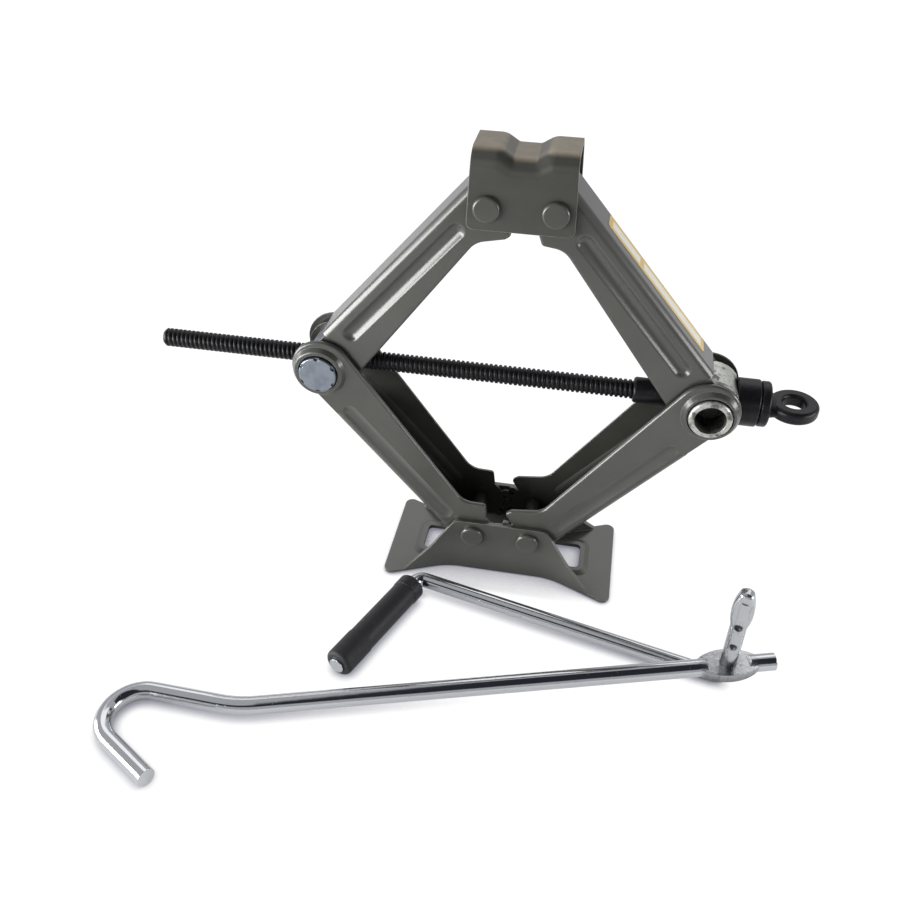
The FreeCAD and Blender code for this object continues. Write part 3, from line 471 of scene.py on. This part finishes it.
# %% Moulded grip
GRIP_BLACK = shade(36, 36, 41)
GRIP_DUST = shade(86, 86, 90)
GRIP_SPECULAR = 0.45
GRIP_GLOSS = 0.4
GRIP_EDGE = 0.6 * MM
CRINKLE_LENGTH = 7 * MM
CRINKLE_COUNT = 11
COARSE_START = 66 * MM
COARSE_NOISE = (620, 2)
COARSE_LINES = 60
MOULD_NOISE, MOULD_STRENGTH, MOULD_DEPTH = (1300, 3, 0.6), 0.3, 0.3 * MM
LINT_NOISE, LINT_BAND = (240, 5, 0.7), (0.52, 0.8)


def grip_finish(name, corner, along):
    """Black plastic whose bump changes along the grip, from the rod's corner outward."""
    material, place = new_finish(name, Specular_IOR_Level=GRIP_SPECULAR)
    normal = rounded(place, GRIP_EDGE)
    from_corner = vector("SUBTRACT", place, corner)
    run = vector("DOT_PRODUCT", from_corner, along, "Value")
    aside = vector("DOT_PRODUCT", from_corner, along.cross(Vector((0, 0, 1))), "Value")
    turn = place.math("ARCTAN2", axis(from_corner, "Z"), aside)
    rim = 1 - band(run, CRINKLE_LENGTH, CRINKLE_LENGTH * 2)
    crinkle = place.math("SINE", turn * CRINKLE_COUNT) * rim
    coarse = band(run, COARSE_START, COARSE_START + MM)
    grain = noise(place, *MOULD_NOISE)
    lint = noise(place, *LINT_NOISE)
    lines = place.math("SINE", turn * COARSE_LINES) * coarse
    colour = blend(band(lint, *LINT_BAND) * 0.35 + edge_mask(normal) * 0.15, GRIP_BLACK, GRIP_DUST)
    gloss = GRIP_GLOSS + lint * 0.2 + coarse * 0.08
    height = grain + crinkle * 3 + coarse * noise(place, *COARSE_NOISE) * 1.5 + lines * 0.4
    return feed(material, Base_Color=colour, Roughness=gloss,
                Normal=bumped(height, MOULD_STRENGTH, MOULD_DEPTH, normal))


grip = grip_finish("moulded_grip", joint_place("grip_turn"), joint_axis("grip_turn"))

# %% [markdown]
# Each solid takes its finish from the slot that its record names, so one table dresses nearly all.
# The bearing block and the saddle then get their own version. The meshes stay as they are: only the
# material in their slot changes.

# %% Dress the solids
FINISHES = {"olive_paint": paint, "black_steel": black_steel, "zinc_steel": zinc,
            "rod_chrome": bright, "grip_plastic": grip}


def dress(node, material):
    mesh = nodes[node].data
    mesh.materials.clear()
    mesh.materials.append(material)


for subpart in frame["record"]["subparts"]:
    dress(subpart["node"], FINISHES[subpart["material_slot"]])
dress("trunnion_block", rough_zinc)
dress("saddle", dusty_paint)

# %% [markdown]
# The screw carries a trapezoidal thread. It could be a bump on a plain bar, but its saw-like
# outline shows against the pale ground, so the thread is real: one profile is carried round a
# helix, each turn is joined to the next, and both ends are cut square. The profile is given as
# shares of the pitch and of the thread's depth.

# %% Threaded screw
THREAD_PITCH = 3.0 * MM
THREAD_DEPTH = 1.0 * MM
THREAD_STEPS = 40
THREAD_CORE = 0.5
TIP_CHAMFER = 1.5 * MM
THREAD_CREASE = math.radians(35)
THREAD_PROFILE = ((0.0, 0.0), (0.36, 0.0), (0.44, 0.16), (0.58, 1.0), (0.78, 1.0), (0.92, 0.16))
CUT_TOLERANCE = 1e-7


def new_piece(name, mesh, material, body):
    """Object of this mesh that rides on a body."""
    piece = bpy.data.objects.new(name, mesh)
    bpy.context.scene.collection.objects.link(piece)
    mesh.materials.append(material)
    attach(piece, body)
    return piece


def thread_rows(grid, radius, start, end, axis_z):
    """Rows of points: the profile at each step of the helix, one turn past both ends."""
    rows = []
    turns = math.ceil((end - start) / THREAD_PITCH) + 2
    for step in range(turns * THREAD_STEPS + 1):
        angle = 2 * math.pi * step / THREAD_STEPS
        origin = start + (step / THREAD_STEPS - 1) * THREAD_PITCH
        row = []
        for share, drop in THREAD_PROFILE:
            x = origin + share * THREAD_PITCH
            tip = radius - max(0.0, TIP_CHAMFER - (x - start))
            r = max(min(radius - drop * THREAD_DEPTH, tip), radius * THREAD_CORE)
            row.append(grid.verts.new((x, r * math.cos(angle), axis_z + r * math.sin(angle))))
        rows.append(row)
    return rows


def thread_mesh(radius, start, end, axis_z):
    """Helical thread along X from start to end, closed at both ends."""
    grid = bmesh.new()
    rows = thread_rows(grid, radius, start, end, axis_z)
    last = len(THREAD_PROFILE) - 1
    for step in range(len(rows) - 1):
        here, after = rows[step], rows[step + 1]
        for index in range(last):
            grid.faces.new((here[index], here[index + 1], after[index + 1], after[index]))
        if step + THREAD_STEPS + 1 < len(rows):
            turn, next_turn = rows[step + THREAD_STEPS], rows[step + THREAD_STEPS + 1]
            grid.faces.new((here[last], turn[0], next_turn[0], after[last]))
    for x, outward in ((start, -1), (end, 1)):
        geometry = grid.verts[:] + grid.edges[:] + grid.faces[:]
        cut = bmesh.ops.bisect_plane(grid, geom=geometry, dist=CUT_TOLERANCE, plane_co=(x, 0, 0),
                                     plane_no=(outward, 0, 0), clear_outer=True)
        rim = [item for item in cut["geom_cut"] if isinstance(item, bmesh.types.BMEdge)]
        bmesh.ops.contextual_create(grid, geom=rim)
    bmesh.ops.recalc_face_normals(grid, faces=grid.faces)
    mesh = bpy.data.meshes.new("threaded_screw")
    grid.to_mesh(mesh)
    grid.free()
    mesh.shade_smooth()
    mesh.set_sharp_from_angle(angle=THREAD_CREASE)
    return mesh


screw_low, screw_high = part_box("lead_screw")
screw_radius = (screw_high.z - screw_low.z) / 2
screw_axis_z = (screw_high.z + screw_low.z) / 2
threaded_screw = new_piece(
    "threaded_screw", thread_mesh(screw_radius, screw_low.x, screw_high.x, screw_axis_z),
    black_steel, "lead_screw")
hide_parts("lead_screw")
print("thread faces", len(threaded_screw.data.polygons))

# %% [markdown]
# A pale foil label with a gold edge lies on the web of the right upper arm. It stays blank.
# The gold could be a second mesh, but foil is printed in one piece, so the border comes from the
# distances to the label's edges, and to one bar across it. The plate has its own axes: X along the
# arm, Y across and Z out.

# %% Blank label
LABEL_START, LABEL_END = 26 * MM, 124 * MM
LABEL_NEAR, LABEL_FAR = -4.2 * MM, 11.4 * MM
LABEL_BAR = 58.4 * MM
LABEL_THICK = 0.15 * MM
LABEL_CORNER, LABEL_CORNER_STEPS = 1.2 * MM, 5
LABEL_LENGTH = LABEL_END - LABEL_START
LABEL_WIDTH = LABEL_FAR - LABEL_NEAR
GOLD_WIDTH = 3.3 * MM
GOLD_FADE = 0.5 * MM
WEB_HEIGHT = 15 * MM
LABEL_PALE = shade(253, 250, 238)
LABEL_AGED = shade(246, 236, 206)
LABEL_GOLD = shade(236, 200, 110)
LABEL_COAT, LABEL_HAZE = 0.4, 0.08
LABEL_GLOSS = 0.25
AGED_NOISE, AGED_BAND, AGED_SHARE = (160, 4), (0.4, 0.8), 0.5

arm_foot = joint_place("saddle_level") * Vector((-1, 1, 1))
arm_along = (joint_place("upper_right_fold") - arm_foot).normalized()
to_back = Vector((0, 1, 0))
arm_out = arm_along.cross(to_back)


def label_finish(name):
    """Pale foil with a gold border, from distances along and across the label."""
    material, place = new_finish(name, Coat_Weight=LABEL_COAT, Coat_Roughness=LABEL_HAZE)
    along, across = axis(place, "X"), axis(place, "Y")
    bar_gap = place.math("ABSOLUTE", along - (LABEL_BAR - LABEL_START)) + GOLD_WIDTH / 2
    pale = 1.0
    for gap in (along, LABEL_LENGTH - along, across, LABEL_WIDTH - across, bar_gap):
        pale = pale * band(gap, GOLD_WIDTH, GOLD_WIDTH + GOLD_FADE)
    cloud = noise(place, *AGED_NOISE)
    field = blend(band(cloud, *AGED_BAND) * AGED_SHARE, LABEL_PALE, LABEL_AGED)
    return feed(material, Base_Color=blend(pale, LABEL_GOLD, field), Roughness=LABEL_GLOSS + cloud * 0.2)


def label_mesh():
    """Thin plate with rounded corners."""
    grid = bmesh.new()
    corners = [(0, 0), (LABEL_LENGTH, 0), (LABEL_LENGTH, LABEL_WIDTH), (0, LABEL_WIDTH)]
    grid.faces.new([grid.verts.new((x, y, 0)) for x, y in corners])
    bmesh.ops.bevel(grid, geom=grid.verts[:], offset=LABEL_CORNER, segments=LABEL_CORNER_STEPS,
                    affect="VERTICES")
    solid = bmesh.ops.extrude_face_region(grid, geom=grid.faces[:])
    top = [item for item in solid["geom"] if isinstance(item, bmesh.types.BMVert)]
    bmesh.ops.translate(grid, verts=top, vec=(0, 0, LABEL_THICK))
    bmesh.ops.recalc_face_normals(grid, faces=grid.faces)
    mesh = bpy.data.meshes.new("arm_label")
    grid.to_mesh(mesh)
    grid.free()
    return mesh


def add_label():
    label = bpy.data.objects.new("arm_label", label_mesh())
    bpy.context.scene.collection.objects.link(label)
    label.data.materials.append(label_finish("blank_label"))
    origin = arm_foot + arm_along * LABEL_START + arm_out * WEB_HEIGHT + to_back * LABEL_NEAR
    label.matrix_world = Matrix.Translation(origin) @ turned(arm_along, to_back, arm_out)
    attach(label, "upper_arm_right")
    return label


label = add_label()
print(label.name, round(LABEL_LENGTH / MM), "by", round(LABEL_WIDTH / MM, 1), "mm, facing",
      [round(value, 2) for value in arm_out])

# %% [markdown]
# The jack stands on white. The floor has to look white and still hold a soft shadow, so the
# camera sees mostly plain white, and the mirrors in metal see a smaller share of it. Light that
# bounces sees only the lit floor, so the white adds no light to the object. The white is shaded by
# corner masks: a short one where a piece touches the floor, and a long one under the base, which shows
# through its windows. In front of the picture the floor fades to dark, for the bars to mirror.

# %% Floor
PLAIN_WHITE = (1, 1, 1, 1)
FLOOR_SIZE = 8.0
FLOOR_DROP = 0.2 * MM
FLOOR_ROUGHNESS = 0.9
FLOOR_COLOUR = (0.93, 0.93, 0.935, 1)
FLOOR_FAR = (0.16, 0.16, 0.17, 1)
FADE_NEAR, FADE_FAR = -0.4, -0.8
FLOOR_SHADE = (0.22, 0.22, 0.27, 1)
CONTACT_REACH, CONTACT_BAND = 8 * MM, (0.1, 0.8)
ENCLOSED_REACH, ENCLOSED_BAND = 42 * MM, (0.2, 0.7)
BASE_FADE = 6 * MM
SEEN_WHITE = 0.9
MIRRORED_WHITE = 0.25
WHITE_STRENGTH = 1.12

base_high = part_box("base_plate")[1]


def under_base(place):
    """1 on the floor under the base, 0 beside it."""
    inside = 1.0
    for letter, half in (("X", base_high.x), ("Y", base_high.y)):
        gap = place.math("ABSOLUTE", axis(place, letter)) - half
        inside = (1 - band(gap, 0.0, BASE_FADE)) * inside
    return inside


def floor_finish(name):
    """Lit floor, with a shaded white laid over it for the camera and for mirrors."""
    material, place = new_finish(name, Roughness=FLOOR_ROUGHNESS, Specular_IOR_Level=0.0)
    near = band(axis(place, "Y"), FADE_FAR, FADE_NEAR)
    feed(material, Base_Color=blend(near, FLOOR_FAR, FLOOR_COLOUR))
    share = place.add("LightPath", out="Is Camera Ray") * SEEN_WHITE
    for ray in ("Is Glossy Ray", "Is Transmission Ray"):
        share = place.math("MAXIMUM", share, place.add("LightPath", out=ray) * near * MIRRORED_WHITE)
    enclosed = band(corner_mask(place, ENCLOSED_REACH), *ENCLOSED_BAND) * under_base(place)
    touching = band(corner_mask(place, CONTACT_REACH), *CONTACT_BAND)
    contact = place.math("MAXIMUM", touching, enclosed)
    white = place.add("Emission", None, {"Color": blend(contact, PLAIN_WHITE, FLOOR_SHADE),
                                         "Strength": WHITE_STRENGTH})
    tree = material.node_tree
    lit = Flow(tree.nodes["Principled BSDF"].outputs["BSDF"])
    mixed = place.add("MixShader", None, {0: share, 1: lit, 2: white})
    tree.links.new(mixed.socket, tree.nodes["Material Output"].inputs["Surface"])
    return material


def add_floor():
    grid = bmesh.new()
    bmesh.ops.create_grid(grid, x_segments=1, y_segments=1, size=FLOOR_SIZE / 2)
    mesh = bpy.data.meshes.new("floor")
    grid.to_mesh(mesh)
    grid.free()
    floor = bpy.data.objects.new("floor", mesh)
    floor.location.z = -FLOOR_DROP
    bpy.context.scene.collection.objects.link(floor)
    mesh.materials.append(floor_finish("pale_floor"))
    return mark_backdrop(floor)


add_floor()
print("floor", FLOOR_SIZE, "m wide")

# %% [markdown]
# Bare metal has no colour of its own: it shows the room. This room is pale, with a dark zone that
# starts above the camera and takes in the right half of the ceiling. It gives the bars their sharp
# dark line and keeps the front bends of the paint deep. It could be a real box of walls, but a
# colour by direction costs nothing. The angle runs from the horizon in front, up over the top, to
# the horizon behind. The camera itself sees plain white.

# %% Room
ROOM_WHITE = (0.5, 0.505, 0.52, 1)
ROOM_DARK = (0.028, 0.029, 0.038, 1)
DARK_LOW, DARK_HIGH = math.radians(27), math.radians(100)
DARK_SOFT = math.radians(5)
DARK_WIDE = 0.8
DARK_FADE = 0.12
LIT_LOW = math.radians(48)
RIGHT_BAND = (-0.12, 0.02)
HORIZON_BAND = (-0.1, 0.0)


def add_room():
    world = bpy.data.worlds.new("pale_room")
    bpy.context.scene.world = world
    world.use_nodes = True
    background = world.node_tree.nodes["Background"]
    place = Flow(background.outputs["Background"]).add("TexCoord", out="Generated")
    angle = place.math("ARCTAN2", axis(place, "Z"), 0 - axis(place, "Y"))
    aside = place.math("ABSOLUTE", axis(place, "X"))
    dark = band(angle, DARK_LOW, DARK_LOW + DARK_SOFT)
    dark = dark * (1 - band(angle, DARK_HIGH, DARK_HIGH + DARK_SOFT))
    dark = dark * (1 - band(aside, DARK_WIDE, DARK_WIDE + DARK_FADE))
    left = 1 - band(axis(place, "X"), *RIGHT_BAND)
    dark = dark * (1 - left * band(angle, LIT_LOW, LIT_LOW + DARK_SOFT))
    below = 1 - band(axis(place, "Z"), *HORIZON_BAND)
    dark = place.math("MAXIMUM", dark, below)
    room = blend(dark, ROOM_WHITE, ROOM_DARK)
    colour = blend(place.add("LightPath", out="Is Camera Ray"), room, PLAIN_WHITE)
    world.node_tree.links.new(colour.socket, background.inputs["Color"])


add_room()
print("room dark from", round(math.degrees(DARK_LOW)), "to", round(math.degrees(DARK_HIGH)), "degrees")

# %% [markdown]
# A wide softbox behind the jack lights the tops and puts the white band on the bars. Two softboxes
# stand low at the sides, a large one on the left and a short one on the right, and draw the bright
# lines along the bends and the beads. Each lamp is given by its place, its size and its brightness
# next to white, because that is what a mirror shows. The watts follow from the last two.

# %% Lamps
AIM = Vector((0.0, 0.0, 0.15))
LAMPS = (("back_softbox", (0.0, 1.2, 1.35), (2.4, 1.0), 0.85),
         ("left_softbox", (-1.1, -0.51, 0.24), (1.4, 0.44), 12.0),
         ("right_softbox", (0.72, -0.15, 0.27), (0.5, 0.16), 8.0))


def add_lamp(name, place, size, brightness):
    data = bpy.data.lights.new(name, "AREA")
    data.shape = "RECTANGLE"
    data.size, data.size_y = size
    data.energy = brightness * math.pi * size[0] * size[1]
    lamp = bpy.data.objects.new(name, data)
    lamp.location = place
    lamp.visible_camera = False
    lamp.rotation_euler = (AIM - Vector(place)).to_track_quat("-Z", "Y").to_euler()
    bpy.context.scene.collection.objects.link(lamp)
    return lamp


lamps = [add_lamp(*lamp) for lamp in LAMPS]
print("lamps", [(lamp.name, round(lamp.data.energy, 1)) for lamp in lamps])

# %% [markdown]
